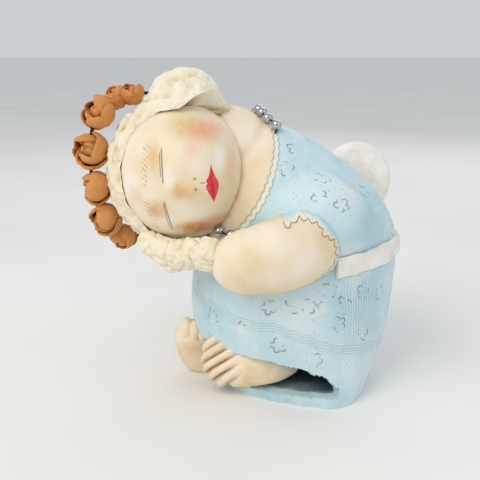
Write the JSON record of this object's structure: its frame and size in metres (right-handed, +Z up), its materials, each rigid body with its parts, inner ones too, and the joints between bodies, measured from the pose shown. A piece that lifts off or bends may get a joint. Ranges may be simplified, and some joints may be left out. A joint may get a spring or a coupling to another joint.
{
  "type": "ceramic figurine",
  "caption": "Hand-built ceramic angel figurine hugging her knees, with a crown of terracotta roses on a wire and a string of metal beads.",
  "frame": {"origin": "on the flat underside, at the centre that the outline of the skirt's foot is drawn about", "axes": "+Z up from the table, +X from the face towards the back, -Y the side the face looks to"},
  "size_m": [0.2251, 0.1663, 0.2165],
  "materials": {
    "painted_clay": "matte",
    "terracotta": "matte",
    "bead_metal": "gloss",
    "dark_wire": "satin"
  },
  "bodies": {
    "root": {"angel_figure": "painted_clay", "crown_wire": "dark_wire", "necklace_wire_back": "dark_wire", "necklace_wire_front": "dark_wire", "rose_1": "terracotta", "rose_2": "terracotta", "rose_3": "terracotta", "rose_4": "terracotta", "rose_5": "terracotta", "rose_6": "terracotta", "rose_7": "terracotta", "rose_8": "terracotta", "rose_9": "terracotta", "rose_10": "terracotta", "bead_back_1": "bead_metal", "bead_back_2": "bead_metal", "bead_back_3": "bead_metal", "bead_back_4": "bead_metal", "bead_back_5": "bead_metal", "bead_back_6": "bead_metal", "bead_back_7": "bead_metal", "bead_back_8": "bead_metal", "bead_back_9": "bead_metal", "bead_back_10": "bead_metal", "bead_back_11": "bead_metal", "bead_back_12": "bead_metal", "bead_front_1": "bead_metal", "bead_front_2": "bead_metal", "bead_front_3": "bead_metal"}
  },
  "joints": []
}
